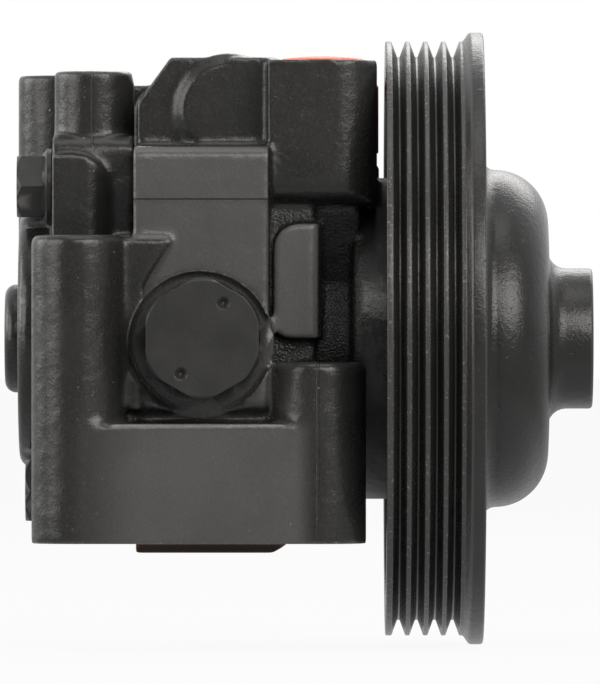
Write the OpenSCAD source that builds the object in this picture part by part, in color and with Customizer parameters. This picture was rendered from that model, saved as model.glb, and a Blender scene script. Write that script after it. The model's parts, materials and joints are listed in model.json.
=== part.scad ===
// Belt-driven power steering pump: a vane pump in two castings, with a ribbed pulley on its shaft.
// Millimetres, Z up. X runs along the shaft towards the pulley, and Y runs away from the mounting foot.
// The origin is on the shaft's axis, in the middle plane of the belt.

/* [Belt pulley] */
// Number of belt grooves
groove_count = 4; // [2:1:6]
// Distance from groove to groove
groove_pitch = 3.56; // [3.4:0.02:3.8]
// Depth of a groove
groove_depth = 3.1; // [2.6:0.1:3.4]
// Flat width at a groove's bottom
groove_floor = 0.5; // [0.3:0.1:0.7]
// Diameter over the ribs
rib_tip_d = 117.7; // [110:0.5:130]
// Width of the rim behind the last rib's middle
rim_lip = 0.81; // [0.6:0.05:2]
// Height of the front flange above the ribs
flange_rise = 1.75; // [1:0.25:4]
// Width of the front flange
flange_w = 3.6; // [2.5:0.1:6]
// Wall of the rim under the grooves
rim_wall = 3.8; // [2.5:0.1:5]
// Thickness of the pulley's web and dome
web_t = 3.2; // [2.5:0.1:3.6]
// Diameter of the dome
dome_d = 66.8; // [64:0.2:76]
// Height of the dome above the web
dome_rise = 12.9; // [11:0.1:16]
// Rounding of the dome's shoulder
dome_round = 10.6; // [8:0.1:11]
// Diameter of the hub's nose
hub_d = 27.8; // [25:0.2:32]
// Length of the hub's nose in front of the dome
hub_nose = 8.8; // [6:0.2:12]

/* [Shaft and bearing] */
// Shaft diameter at the bearing and the hub
shaft_d = 17; // [16.6:0.1:18]
// Shaft diameter under the seal's lip
seal_land_d = 16; // [15.6:0.1:16.4]
// Diameter over the rotor's splines
spline_d = 15; // [14.6:0.1:15.4]
// Number of splines
spline_count = 10; // [8:1:12]
// Shaft diameter in the rear bush
tail_d = 13.4; // [12.5:0.1:13.5]
// Diameter of the collar between bearing and hub
collar_d = 20.4; // [19.5:0.1:22]
// Outer diameter of the bearing
bearing_od = 40; // [38:0.5:42]
// Width of the bearing
bearing_w = 12; // [11:0.5:13]
// Ball diameter
ball_d = 6.75; // [6:0.05:7]
// Number of balls
ball_count = 8; // [7:1:9]
// Outer diameter of the shaft seal
seal_od = 30; // [28:0.5:32]
// Width of the shaft seal
seal_w = 7; // [6:0.5:8]
// Thickness of the bearing's clip
clip_t = 1.5; // [1.2:0.1:1.8]

/* [Pump set] */
// Width of the cam ring
cam_w = 14; // [12:0.5:15]
// Outer diameter of the cam ring
cam_od = 44; // [43:0.5:45]
// Rotor diameter
rotor_d = 32; // [31:0.5:33]
// Stroke of a vane
cam_lift = 2.2; // [1.5:0.1:2.4]
// Number of vanes
vane_count = 10; // [8:1:11]
// Thickness of a vane
vane_t = 1.5; // [1.2:0.1:1.8]
// Thickness of the pressure plate
plate_t = 4.9; // [4.5:0.1:5.2]
// Thickness of the pressure plate's outer seal
plate_cord = 1.2; // [1:0.1:1.3]
// Diameter of the dowel pins
dowel_d = 3; // [2.5:0.1:3.4]
// Outer diameter of the rear bush
bush_od = 17; // [16.4:0.1:18]

/* [Main body] */
// Free space between the pulley's rim and the port tower
rim_gap = 1.77; // [1.2:0.1:4]
// Free space between the body's nose and the pulley's web
nose_gap = 2.2; // [1.5:0.1:3]
// Length of the port tower along the shaft
tower_len = 21.3; // [20.5:0.1:24]
// Length of the valve block along the shaft
block_len = 26.3; // [26:0.1:30]
// Diameter of the ring that reaches into the pulley
ring_d = 63.6; // [60:0.2:66]
// Diameter of the neck behind that ring
neck_d = 46; // [44:0.5:54]
// Distance from the shaft to the milled face
milled_depth = 39.4; // [38.8:0.2:41]
// Height of the milled face's top edge
milled_top = 27; // [25:0.5:30]
// Height of the outlet riser
riser_top = 55.2; // [52:0.2:60]
// Distance from the shaft to the riser's face
riser_depth = 24; // [21:0.5:27]
// Rise of the rounded pad on the riser
pad_rise = 2; // [1:0.1:3]
// Height of the port tower
tower_top = 54.5; // [52:0.2:60]
// Distance from the shaft to the tower's face
tower_depth = 34; // [32:0.5:37]
// Rounding of the tower's corner
tower_round = 8; // [4:0.5:9]
// Rounding under the tower's face
tower_under = 5; // [3:0.5:7]
// Depth of the body's underside
underside = 42.2; // [41:0.1:46]

/* [Mounting] */
// Distance between the two mounting bolts
bolt_span = 47.1; // [46.5:0.1:50]
// Distance from the tower's front to the front mounting bolt
front_bolt_back = 11.3; // [10.5:0.1:12]
// Distance from the shaft to the mounting bolts
bolt_reach = 38; // [37.6:0.1:41]
// Diameter of the mounting bosses
boss_d = 18.2; // [17:0.2:18.6]
// Diameter of the mounting bolt holes
mount_hole_d = 8.5; // [8.2:0.1:10.5]
// Depth of the mounting face below the shaft
foot_drop = 40; // [39:0.1:42]
// Height of the rear mounting boss above the shaft
rear_boss_top = 20.2; // [18:0.2:24]
// Depth of the front mounting boss's top below the shaft
front_boss_drop = 4.6; // [2:0.1:8]
// Depth of the foot's ledge below the shaft
ledge_drop = 16.6; // [15.6:0.2:20]
// Distance from the shaft to the far mounting bolt
far_reach = 32; // [30:0.5:36]

/* [Rear cover] */
// Length of the rear cover
cover_len = 23; // [22.2:0.1:25]
// Diameter of the cover's barrel at the joint
barrel_d = 56; // [54.5:0.2:58]
// Diameter of the cover's rear face
barrel_end_d = 51; // [48:0.2:54]
// Diameter of the cover bolts' circle
bolt_circle_d = 66; // [65:0.2:68]
// Thread diameter of the cover bolts
cover_bolt_d = 8; // [7:0.5:8]
// Width across the flats of the cover bolts
bolt_flats = 12; // [11:0.5:13]
// Height of the bracket bosses
bracket_top = 52.6; // [50:0.2:56]
// Diameter of the near bracket boss
near_boss_d = 15.4; // [14.5:0.1:16.4]
// Diameter of the far bracket boss
far_boss_d = 19; // [17:0.2:19.4]
// Diameter of the tapped holes in the bracket bosses
bracket_hole_d = 6.8; // [6:0.1:8.4]
// Diameter of the rear cap
cap_d = 21.4; // [19:0.2:24]
// Height of the rear cap
cap_rise = 2.9; // [2:0.1:4]

/* [Flow valve] */
// Width across the flats of the valve plug
plug_flats = 22; // [20:0.5:23]
// Height of the valve plug's head
plug_head = 11.4; // [9:0.2:12]
// Depth of the valve's spot face in the milled face
spot_depth = 1.4; // [0.8:0.1:2]
// Thread diameter of the valve plug
plug_thread_d = 18; // [17:0.2:18.6]
// Diameter of the valve spool
spool_d = 14; // [13:0.1:14.4]
// Length of the valve spool
spool_len = 14.3; // [13.5:0.1:14.8]
// Travel of the valve spool
spool_travel = 3.2; // [2:0.1:3.4]
// Diameter of the valve boss
valve_boss_d = 28.8; // [26:0.2:30]
// Distance from the valve's axis to the block's front
valve_back = 12.8; // [12.4:0.1:14]
// Number of turns in the valve spring
spring_turns = 5; // [4:1:6]
// Wire diameter of the valve spring
spring_wire = 1.1; // [0.8:0.1:1.2]

/* [Ports] */
// Diameter of the outlet thread
outlet_d = 14; // [12:0.5:15]
// Diameter of the outlet plug's flange
outlet_plug_d = 16; // [15.6:0.2:18]
// Height of the outlet plug's flange
outlet_plug_rise = 0.9; // [0.6:0.1:2]
// Length of the outlet plug's skirt
outlet_skirt = 9; // [6:0.5:12]
// Radius of the outlet plug's crown
outlet_crown = 60; // [40:5:90]
// Depth of the outlet thread
outlet_depth = 19; // [16:0.5:22]
// Outer diameter of the inlet tube
inlet_tube_d = 16; // [14:0.2:17]
// Outer diameter of the inlet cap
inlet_cap_d = 21; // [19:0.2:22]
// Height of the inlet cap's top
inlet_cap_top = 51; // [48:0.5:54]
// Height of the inlet cap above its boss
inlet_cap_h = 16; // [13:0.5:18]
// Depth of the inlet tube in its boss
inlet_depth = 14; // [10:0.5:16]
// Distance from the shaft to the inlet tube
inlet_reach = 22; // [20.5:0.5:24]

/* [Fits] */
// Radial clearance of pieces that sit in one another
fit = 0.02; // [0.01:0.01:0.04]
// Radial clearance of pieces that run in one another
run_gap = 0.04; // [0.02:0.01:0.08]
// Clearance at the sides of the rotor and the plates
side_gap = 0.06; // [0.04:0.01:0.1]

/* [Hidden] */
$fn = 72;

// Pulley stations along the shaft
rim_half = groove_count * groove_pitch / 2;
rim_back = -rim_half - rim_lip;
flange_face = rim_half + 0.68 + flange_w;
web_in = flange_face - web_t;
dome_face = flange_face + dome_rise;
hub_face = dome_face + hub_nose;
rib_r = rib_tip_d / 2;
flange_r = rib_r + flange_rise;
rim_in_r = rib_r - groove_depth - rim_wall;
dome_r = dome_d / 2;
hub_r = hub_d / 2;

// Body stations along the shaft
x_front = rim_back - rim_gap;
x_step = x_front - tower_len;
x_joint = x_step - block_len;
x_rear = x_joint - cover_len;
x_valve = x_step - valve_back;
x_port = x_front - tower_len / 2;
x_inlet = x_port + 0.75;
x_front_bolt = x_front - front_bolt_back;
x_rear_bolt = x_front_bolt - bolt_span;
nose_tip = web_in - nose_gap;
clip_groove_w = clip_t + 0.1;
bearing_front = nose_tip - 1.4 - clip_groove_w;
bearing_back = bearing_front - bearing_w;
bearing_mid = bearing_front - bearing_w / 2;
seal_back = bearing_back - seal_w;
ring_front = nose_tip - 7;
race_r = (shaft_d + bearing_od) / 4;
race_w = ball_d / 2 + 0.06;
land_in = race_r - ball_d * 0.3;
land_out = race_r + ball_d * 0.3;
ring_back = x_front - 4.8;
boss_r = boss_d / 2;
tower_back = 8;
foot_front = bolt_reach + boss_r;
foot_back = bolt_reach - boss_r + 0.5;
milled_bottom = -14.2;
mill_cut = 0.3;
shoulder_r = 2.5;
riser_base = 37.6;
riser_back = 8;
pad_r = 10.1;
pad_x = x_step - 7.7;
pad_edge = 1.2;
pad_z = riser_top + 0.8 - pad_r - pad_edge;
body_r = 31;
lug_r = 8;

// Pump set stations
plate_front = x_joint + plate_t;
recess_floor = plate_front + side_gap;
cavity_floor = x_joint - cam_w - side_gap;
cavity_r = cam_od / 2 + fit;
rotor_r = rotor_d / 2;
vane_r = rotor_r + 0.15;
cam_minor_r = vane_r + 0.1;
spline_root_d = spline_d - 1.4;
slot_w = vane_t + 2 * run_gap;
slot_root_r = spline_d / 2 + 2.2;
dowel_r = (cam_minor_r + cam_od / 2) / 2;
shaft_hole_r = seal_land_d / 2 + 1.2;
shaft_end = hub_face - 0.5;
tail_end = x_rear + 1;
bush_back = x_rear + 0.8;

// Cover bolts, as angles about the shaft from +Y, and the plane that each head bears on
bolt_angles = [115, 25, 295, 245];
bolt_seats = [6.6, 8.3, 8.3, 8.3];
bolt_r = cover_bolt_d / 2;
bolt_grip = 14;
bolt_flange_r = bolt_flats * 0.63;
bolt_flange_t = 1.8;
bolt_head_t = bolt_flats * 0.42;
near_boss_x = x_joint - 8.2;
near_boss_y = -12.5;
far_boss_x = x_rear + far_boss_d / 2 - 0.6;
far_boss_y = 14;

// Flow valve stations, as distances from the shaft
valve_seat = milled_depth - spot_depth;
spot_x = x_valve - 0.45;
spot_z = -1;
spool_r = spool_d / 2;
spool_start = shaft_hole_r + 4;
spool_end = spool_start + spool_len;
plug_inner = spool_end + spool_travel + 0.3;
spring_start = spool_end - 5;
spring_end = plug_inner + 8;
spring_r = spool_r - 2.9;
plug_corner_r = plug_flats / 2 / cos(30);
plug_thread_r = plug_thread_d / 2;

// Ports
outlet_y = -21;
outlet_r = outlet_d / 2;
outlet_floor = tower_top - outlet_depth;
inlet_r = inlet_tube_d / 2;
inlet_boss_top = inlet_cap_top - inlet_cap_h;
inlet_floor = inlet_boss_top - inlet_depth;

// Colours
paint = [0.17, 0.17, 0.165];
steel = [0.62, 0.62, 0.63];
dark_steel = [0.35, 0.35, 0.36];
bronze = [0.62, 0.47, 0.27];
rubber = [0.06, 0.06, 0.065];
orange = [0.86, 0.33, 0.2];

function arc(cx, cy, r, a0, a1, n = 12) =
  [for (i = [0:n]) [cx + r * cos(a0 + (a1 - a0) * i / n), cy + r * sin(a0 + (a1 - a0) * i / n)]];

// Round bars along the three axes
module rod_x(x0, x1, r) {
  translate([x0, 0, 0]) rotate([0, 90, 0]) cylinder(h = x1 - x0, r = r);
}

module rod_y(y0, y1, r) {
  translate([0, y0, 0]) rotate([-90, 0, 0]) cylinder(h = y1 - y0, r = r);
}

module rod_z(z0, z1, r) {
  translate([0, 0, z0]) cylinder(h = z1 - z0, r = r);
}

// A section drawn as [radius, x], turned about the shaft
module turn_x() {
  rotate([0, 90, 0]) rotate_extrude() children();
}

// A section drawn as [radius, y], turned about the Y axis
module turn_y() {
  rotate([-90, 0, 0]) rotate_extrude() children();
}

// An outline drawn as [y, z], extruded along the shaft
module along_x(x0, x1) {
  translate([x0, 0, 0]) rotate([90, 0, 90]) linear_extrude(x1 - x0) children();
}

// An outline drawn as [x, z], extruded along Y
module along_y(y0, y1) {
  translate([0, y1, 0]) rotate([90, 0, 0]) linear_extrude(y1 - y0) children();
}

// An outline drawn as [x, y], extruded upwards
module along_z(z0, z1) {
  translate([0, 0, z0]) linear_extrude(z1 - z0) children();
}

module round_rect(x0, y0, x1, y1, r) {
  translate([x0 + r, y0]) square([x1 - x0 - 2 * r, y1 - y0]);
  translate([x0, y0 + r]) square([x1 - x0, y1 - y0 - 2 * r]);
  for (x = [x0 + r, x1 - r]) {
    for (y = [y0 + r, y1 - r]) {
      translate([x, y]) circle(r);
    }
  }
}

// A boss standing on its foot, with a rounded top edge
module soft_boss(z0, z1, r, edge) {
  translate([0, 0, z0]) rotate_extrude() {
    square([r, z1 - z0 - edge]);
    square([r - edge, z1 - z0]);
    translate([r - edge, z1 - z0 - edge]) circle(edge);
  }
}

module at_cover_bolts() {
  for (i = [0:len(bolt_angles) - 1]) {
    rotate([bolt_angles[i], 0, 0]) translate([x_rear + bolt_seats[i], bolt_circle_d / 2, 0]) children();
  }
}

module cover_lugs(r) {
  for (a = bolt_angles) {
    rotate(a) translate([bolt_circle_d / 2, 0]) circle(r);
  }
}

module at_dowels() {
  for (a = [70, 250]) {
    rotate([a, 0, 0]) translate([0, dowel_r, 0]) children();
  }
}

// Main body: the casting that carries the bearing, the flow valve and the mounting foot
module valve_block() {
  along_x(x_joint, x_step) {
    circle(body_r);
    cover_lugs(lug_r);
    polygon(concat(
      [[0, milled_bottom], [-milled_depth, milled_bottom], [-milled_depth, milled_top]],
      [[-milled_depth - mill_cut, milled_top]],
      arc(shoulder_r - milled_depth - mill_cut, riser_base - shoulder_r, shoulder_r, 180, 90, 6),
      [[0, riser_base]]
    ));
    translate([-33, -foot_drop + 3]) square([33, foot_drop]);
  }
}

module underside_pad() {
  along_y(-18, 18) {
    polygon([
      [x_joint + 0.2, -20],
      [x_joint + 0.2, -underside],
      [x_step + 0.8, -underside],
      [x_step + 3.3, -underside + 1.4],
      [x_step + 3.3, -20]
    ]);
  }
}

module outlet_riser() {
  translate([x_joint - 1.2, 1, riser_base - 6]) cube([9.4, riser_back - 2, riser_top - riser_base + 1]);
  along_y(-riser_depth, riser_back) {
    polygon([
      [x_joint + 0.5, riser_base - 6],
      [x_joint + 0.5, riser_top - 9.1],
      [x_joint + 7.1, riser_top],
      [x_step + 2, riser_top],
      [x_step + 2, riser_base - 6]
    ]);
  }
  along_y(-riser_depth - pad_rise, -riser_depth + 4) {
    translate([pad_x, pad_z - pad_r]) square([x_step + 1 - pad_x, pad_r + riser_top - pad_z]);
  }
  translate([pad_x, 0, pad_z]) {
    rod_y(-riser_depth, -riser_depth + 4, pad_r + pad_edge);
    translate([0, -riser_depth, 0]) rotate([90, 0, 0]) {
      cylinder(h = pad_rise, r1 = pad_r + pad_edge, r2 = pad_r - 1);
    }
  }
}

module port_tower() {
  intersection() {
    along_z(milled_top - 1, tower_top) {
      polygon(concat(
        [[x_step, -tower_back], [x_step, -tower_depth]],
        arc(x_front - tower_round, tower_round - tower_depth, tower_round, -90, 0),
        [[x_front, -tower_back]]
      ));
    }
    along_x(x_step - 1, x_front + 1) {
      polygon(concat(
        [[0, milled_top - 0.5], [0, tower_top + 1], [-tower_depth - 1, tower_top + 1]],
        [[-tower_depth - 1, milled_top + tower_under]],
        arc(tower_under - tower_depth, milled_top - 0.5 + tower_under, tower_under, 180, 270)
      ));
    }
  }
  translate([x_step - 1, -tower_depth + 4.2, -8.5]) cube([10, 20, milled_top + 10.5]);
  along_x(x_step + 8, x_front - 3.4) {
    polygon([
      [-8, milled_top + 2],
      [-tower_depth + 7, milled_top + 2],
      [-tower_depth + 7, milled_top - 2],
      [-neck_d / 2 + 4, 8],
      [-8, 8]
    ]);
  }
}

module body_nose() {
  turn_x() {
    translate([0, x_step - 2]) square([neck_d / 2, nose_tip - 6 - x_step]);
    translate([0, ring_back]) square([ring_d / 2 - 1.5, ring_front - ring_back]);
    translate([0, ring_back + 1.5]) square([ring_d / 2, ring_front - ring_back - 3]);
    translate([ring_d / 2 - 1.5, ring_back + 1.5]) circle(1.5);
    translate([ring_d / 2 - 1.5, ring_front - 1.5]) circle(1.5);
    translate([0, ring_front - 2]) square([bearing_od / 2 + 5.5, nose_tip - ring_front + 1]);
    translate([0, ring_front - 2]) square([bearing_od / 2 + 4.5, nose_tip - ring_front + 2]);
  }
}

module mounting_foot() {
  along_z(-foot_drop, -ledge_drop) {
    polygon([
      [x_rear_bolt, -foot_front + 0.15],
      [x_front_bolt, -foot_front + 0.6],
      [x_front_bolt, -foot_back],
      [x_rear_bolt, -foot_back]
    ]);
    translate([x_joint + 1, -foot_front + 2]) square([x_front_bolt - x_joint + 4, foot_front - 16]);
  }
  translate([x_rear_bolt, -bolt_reach, 0]) soft_boss(-foot_drop, rear_boss_top, boss_r, 1.6);
  translate([x_front_bolt, -bolt_reach, 0]) soft_boss(-foot_drop, -front_boss_drop, boss_r, 1.6);
  translate([x_front_bolt - 6, -bolt_reach, -foot_drop + 2]) {
    cube([12, bolt_reach - 14, foot_drop - front_boss_drop - 5]);
  }
  translate([x_joint + 1, -milled_depth + 1.6, -ledge_drop - 1]) {
    cube([block_len + 1, 8, ledge_drop + milled_bottom + 2]);
  }
  translate([x_rear_bolt, -bolt_reach + 1, -ledge_drop - 1]) {
    cube([x_joint - x_rear_bolt + 4, 6, ledge_drop + rear_boss_top - 2]);
  }
  along_y(-milled_depth - 1.4, -bolt_reach + 2) {
    polygon([
      [x_rear_bolt + 2, milled_bottom + 0.3],
      [x_rear_bolt + 2, rear_boss_top - 0.6],
      [x_joint + 7.2, rear_boss_top - 0.6],
      [x_joint + 7.5, rear_boss_top - 1.6],
      [x_joint + 5.4, rear_boss_top - 4.8],
      [x_joint + 2.6, rear_boss_top - 9.6],
      [x_joint + 1.8, rear_boss_top - 12.6],
      [x_joint + 1.8, milled_bottom + 0.3]
    ]);
  }
}

module valve_boss() {
  translate([spot_x, 0, spot_z]) rod_y(-valve_seat, -body_r - 0.4, valve_boss_d / 2);
}

module passage_pad() {
  intersection() {
    along_y(-33, -12) {
      polygon(concat(
        [[x_step + 11, 22.5]],
        arc(x_step + 6, 17.5, 5, 90, 180, 8),
        arc(x_step + 4.2, 3.2, 3.2, 180, 270, 8),
        [[x_step + 11, 0]]
      ));
    }
    along_z(-1, 23.5) {
      polygon(concat(
        [[x_step, -10], [x_step, -32.4]],
        arc(x_step + 7.9, -29.9, 2.5, -90, 0, 8),
        [[x_step + 10.4, -10]]
      ));
    }
  }
}

module inlet_boss() {
  translate([x_inlet, inlet_reach, 0]) soft_boss(2, inlet_boss_top, inlet_r + 2.6, 1);
}

module far_lug() {
  translate([x_front_bolt, far_reach, 0]) soft_boss(-foot_drop + 2.5, -12, boss_r, 1.6);
  translate([x_front_bolt - 6, 10, -foot_drop + 5]) cube([12, far_reach - 10, foot_drop - 20]);
}

module body_bores() {
  rod_x(x_joint - 1, recess_floor, cavity_r);
  rod_x(x_joint, bearing_back, shaft_hole_r);
  rod_x(seal_back, bearing_back + 1, seal_od / 2 + fit);
  rod_x(bearing_back, nose_tip + 1, bearing_od / 2 + fit);
  rod_x(bearing_front, bearing_front + clip_groove_w, bearing_od / 2 + 1.1);
  at_cover_bolts() rod_x(0, cover_len + bolt_grip + 1, bolt_r + fit);
  at_dowels() rod_x(x_joint - 1, recess_floor + 4, dowel_d / 2 + fit);
  translate([x_rear_bolt, -bolt_reach, 0]) rod_z(-foot_drop - 1, rear_boss_top + 1, mount_hole_d / 2);
  translate([x_front_bolt, -bolt_reach, 0]) rod_z(-foot_drop - 1, 1, mount_hole_d / 2);
  translate([x_front_bolt, far_reach, 0]) rod_z(-foot_drop - 1, 1, mount_hole_d / 2);
  translate([spot_x, 0, spot_z]) rod_y(-milled_depth - 3, -valve_seat, valve_boss_d / 2 - 0.4);
  translate([x_valve, 0, 0]) {
    rod_y(-milled_depth, -plug_inner, plug_thread_r + fit);
    rod_y(-plug_inner - 1, -spool_start, spool_r + run_gap);
    rod_y(-valve_seat - 1, -valve_seat + 2.2, plug_thread_r + 1.9);
  }
  translate([x_joint, -spool_start - 5, 0]) rod_x(0, x_valve - x_joint, 2);
  translate([x_port, outlet_y, 0]) {
    rod_z(outlet_floor, tower_top + 1, outlet_r + fit);
    rod_z(outlet_floor - 6, tower_top, 3.5);
  }
  translate([x_valve, outlet_y, outlet_floor - 4]) rod_x(0, x_port - x_valve, 2.5);
  translate([x_valve, outlet_y, 0]) rod_z(0, outlet_floor - 4, 2.5);
  translate([x_inlet, inlet_reach, 0]) {
    rod_z(inlet_floor, inlet_boss_top + 1, inlet_r + fit);
    rod_z(inlet_floor - 8, inlet_floor + 1, inlet_r - 2.5);
  }
}

module main_body() {
  color(paint) difference() {
    union() {
      valve_block();
      underside_pad();
      outlet_riser();
      port_tower();
      body_nose();
      mounting_foot();
      valve_boss();
      passage_pad();
      inlet_boss();
      far_lug();
    }
    body_bores();
  }
}

// Rear cover: the casting that holds the cam ring and the shaft's tail
module cover_barrel() {
  turn_x() {
    polygon(concat(
      [[0, x_rear], [barrel_end_d / 2 - 2.5, x_rear]],
      arc(barrel_end_d / 2 - 2.5, x_rear + 2.5, 2.5, -90, -8, 6),
      [[barrel_d / 2, x_joint - 4], [barrel_d / 2, x_joint - 1], [0, x_joint - 1]]
    ));
  }
  along_x(x_joint - 4, x_joint) {
    circle(body_r - 1);
    cover_lugs(lug_r);
  }
}

module cover_ears() {
  for (i = [0:len(bolt_angles) - 1]) {
    rotate([bolt_angles[i], 0, 0]) along_x(x_rear + bolt_seats[i], x_joint - 2) {
      translate([bolt_circle_d / 2, 0]) circle(lug_r - 0.6);
      translate([barrel_end_d / 2 - 6, -lug_r + 2]) square([13, 2 * lug_r - 4]);
    }
  }
}

module near_bracket_boss() {
  ear_x = x_rear + bolt_seats[0];
  intersection() {
    along_z(18, 37) {
      polygon(concat(
        [[ear_x + 0.2, -8], [ear_x + 0.2, -24.4]],
        arc(x_joint - 10.1, -17.4, 7, -90, 0, 8),
        [[x_joint - 3.1, -8]]
      ));
    }
    along_y(-26, -7) {
      polygon(concat(
        [[ear_x - 1, 17], [x_joint - 4.6, 17]],
        arc(x_joint - 11.6, 29, 7, 0, 90, 8),
        [[ear_x - 1, 36]]
      ));
    }
  }
  along_x(ear_x + 0.3, x_joint - 0.3) {
    polygon(concat([[-6, 20], [-21.8, 20]], arc(-18.2, 36.4, 3.6, 180, 90, 8), [[-6, 40]]));
  }
  along_y(-15, -8) {
    polygon([
      [near_boss_x, 30],
      [near_boss_x, bracket_top - 1],
      [x_joint - 2.2, bracket_top - 0.6],
      [x_joint - 0.2, bracket_top - 2.2],
      [x_joint - 0.2, 30]
    ]);
  }
  translate([near_boss_x, near_boss_y, 0]) soft_boss(24, bracket_top, near_boss_d / 2, 0.8);
}

module far_bracket_boss() {
  translate([far_boss_x, far_boss_y, 0]) soft_boss(6, bracket_top - 0.3, far_boss_d / 2, 0.8);
}

module cover_bores() {
  rod_x(cavity_floor, x_joint + 1, cavity_r);
  rod_x(x_rear - 1, x_joint, bush_od / 2 + fit);
  at_cover_bolts() {
    rod_x(-1, cover_len, bolt_r + 0.4);
    rod_x(-20, 0, bolt_flange_r + 0.5);
  }
  at_dowels() rod_x(cavity_floor - 3, x_joint, dowel_d / 2 + fit);
  turn_x() translate([cavity_r + 1.4, x_joint - 1.9]) square([2.4, 3]);
  translate([near_boss_x, near_boss_y, 0]) rod_z(bracket_top - 14, bracket_top + 1, bracket_hole_d / 2);
  translate([far_boss_x, far_boss_y, 0]) rod_z(bracket_top - 16, bracket_top + 1, bracket_hole_d / 2);
}

module rear_cover() {
  color(paint) difference() {
    union() {
      cover_barrel();
      cover_ears();
      near_bracket_boss();
      far_bracket_boss();
    }
    cover_bores();
  }
}

module rear_cap() {
  color(paint) turn_x() {
    translate([0, x_rear - cap_rise]) square([cap_d / 2 - 2.2, cap_rise]);
    translate([0, x_rear - cap_rise + 2.2]) square([cap_d / 2, cap_rise - 2.2]);
    intersection() {
      translate([cap_d / 2 - 2.2, x_rear - cap_rise + 2.2]) circle(2.2);
      translate([0, x_rear - cap_rise]) square([cap_d / 2, cap_rise]);
    }
    translate([0, x_rear - 1]) square([bush_od / 2, 1.5]);
  }
}

module cover_bolt() {
  difference() {
    union() {
      rod_x(-bolt_flange_t * 0.5, 0, bolt_flange_r);
      translate([-bolt_flange_t, 0, 0]) rotate([0, 90, 0]) {
        cylinder(h = bolt_flange_t * 0.5, r1 = bolt_flats * 0.52, r2 = bolt_flange_r);
      }
      intersection() {
        translate([-bolt_flange_t - bolt_head_t, 0, 0]) rotate([0, 90, 0]) {
          cylinder(h = bolt_head_t + 0.2, d = bolt_flats / cos(30), $fn = 6);
        }
        translate([-bolt_flange_t - bolt_head_t, 0, 0]) rotate([0, 90, 0]) {
          cylinder(h = bolt_head_t + 0.2, r1 = bolt_flats * 0.5, r2 = bolt_flats * 0.9);
        }
      }
    }
    translate([-bolt_flange_t - bolt_head_t - 3, 0, 0]) rod_x(0, 3.8, bolt_flats * 0.3);
  }
}

module cover_bolts() {
  color(dark_steel) for (i = [0:len(bolt_angles) - 1]) {
    reach = cover_len - bolt_seats[i] + bolt_grip;
    rotate([bolt_angles[i], 0, 0]) translate([x_rear + bolt_seats[i], bolt_circle_d / 2, 0]) {
      rotate([90 - bolt_angles[i], 0, 0]) cover_bolt();
      rod_x(0, reach - 0.8, bolt_r);
      rod_x(reach - 1, reach, bolt_r - 0.8);
    }
  }
}

module cover_seal() {
  color(rubber) turn_x() translate([cavity_r + 2.6, x_joint - 0.95]) circle(0.93);
}

// Pump set: cam ring, rotor and vanes between the cover's floor and the pressure plate
module cam_bore() {
  polygon([
    for (a = [0:3:357])
      (cam_minor_r + cam_lift * (1 - cos(2 * a)) / 2) * [cos(a - 20), sin(a - 20)]
  ]);
}

module cam_ring() {
  color(steel) difference() {
    rod_x(x_joint - cam_w, x_joint - fit, cam_od / 2);
    along_x(x_joint - cam_w - 1, x_joint + 1) rotate(90) cam_bore();
    at_dowels() rod_x(x_joint - cam_w - 1, x_joint + 1, dowel_d / 2 + fit);
  }
}

module plate_port(a) {
  rotate(a) intersection() {
    difference() {
      circle(rotor_r + 0.6);
      circle(rotor_r - 3);
    }
    polygon([[0, 0], [30, -13], [30, 13]]);
  }
}

module pressure_plate() {
  color(steel) difference() {
    rod_x(x_joint + fit, plate_front, cam_od / 2);
    rod_x(x_joint - 1, plate_front + 1, shaft_hole_r);
    along_x(x_joint - 1, plate_front - 1.8) {
      for (a = [25, 115, 205, 295]) {
        plate_port(a);
      }
    }
    translate([0, -spool_start - 5, 0]) rod_x(x_joint - 1, plate_front + 1, 2);
    turn_x() {
      translate([shaft_hole_r + 1.2, plate_front - 1.84]) square([2, 3]);
      translate([cam_od / 2 - plate_cord, plate_front - plate_cord]) square([3, 3]);
    }
    at_dowels() rod_x(x_joint - 1, plate_front + 1, dowel_d / 2 + fit);
  }
}

module plate_seals() {
  color(rubber) turn_x() {
    translate([shaft_hole_r + 2.2, plate_front - 0.9]) circle(0.91);
    translate([(cam_od - plate_cord) / 2, plate_front - plate_cord / 2]) circle(plate_cord / 2 - 0.01);
  }
}

module dowel_pins() {
  color(steel) at_dowels() rod_x(cavity_floor - 2.8, recess_floor + 3.8, dowel_d / 2);
}

module rear_bush() {
  color(bronze) difference() {
    rod_x(bush_back, cavity_floor - 0.1, bush_od / 2);
    rod_x(x_rear, x_joint, tail_d / 2 + run_gap);
  }
}

module spline_outline(grow) {
  circle(spline_root_d / 2 + grow);
  for (i = [0:spline_count - 1]) {
    rotate(i * 360 / spline_count) translate([0, -1 - grow]) square([spline_d / 2 + grow, 2 + 2 * grow]);
  }
}

module rotor() {
  color(dark_steel) difference() {
    rod_x(x_joint - cam_w + side_gap, x_joint - side_gap, rotor_r);
    along_x(x_joint - cam_w - 1, x_joint + 1) spline_outline(fit);
    along_x(x_joint - cam_w - 1, x_joint + 1) {
      for (i = [0:vane_count - 1]) {
        rotate((i + 0.5) * 360 / vane_count) {
          translate([slot_root_r, -slot_w / 2]) square([rotor_r, slot_w]);
          translate([slot_root_r + 0.4, 0]) circle(slot_w * 0.62);
        }
      }
    }
    rod_x(x_joint - cam_w - 1, x_joint - cam_w + side_gap + 1.7, spline_d / 2 + 1.1);
  }
}

module vanes() {
  color(steel) for (i = [0:vane_count - 1]) {
    rotate([(i + 0.5) * 360 / vane_count, 0, 0]) {
      translate([x_joint - cam_w + side_gap, slot_root_r + 0.5, -vane_t / 2]) {
        cube([cam_w - 2 * side_gap, vane_r - slot_root_r - 0.5, vane_t]);
      }
    }
  }
}

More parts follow.
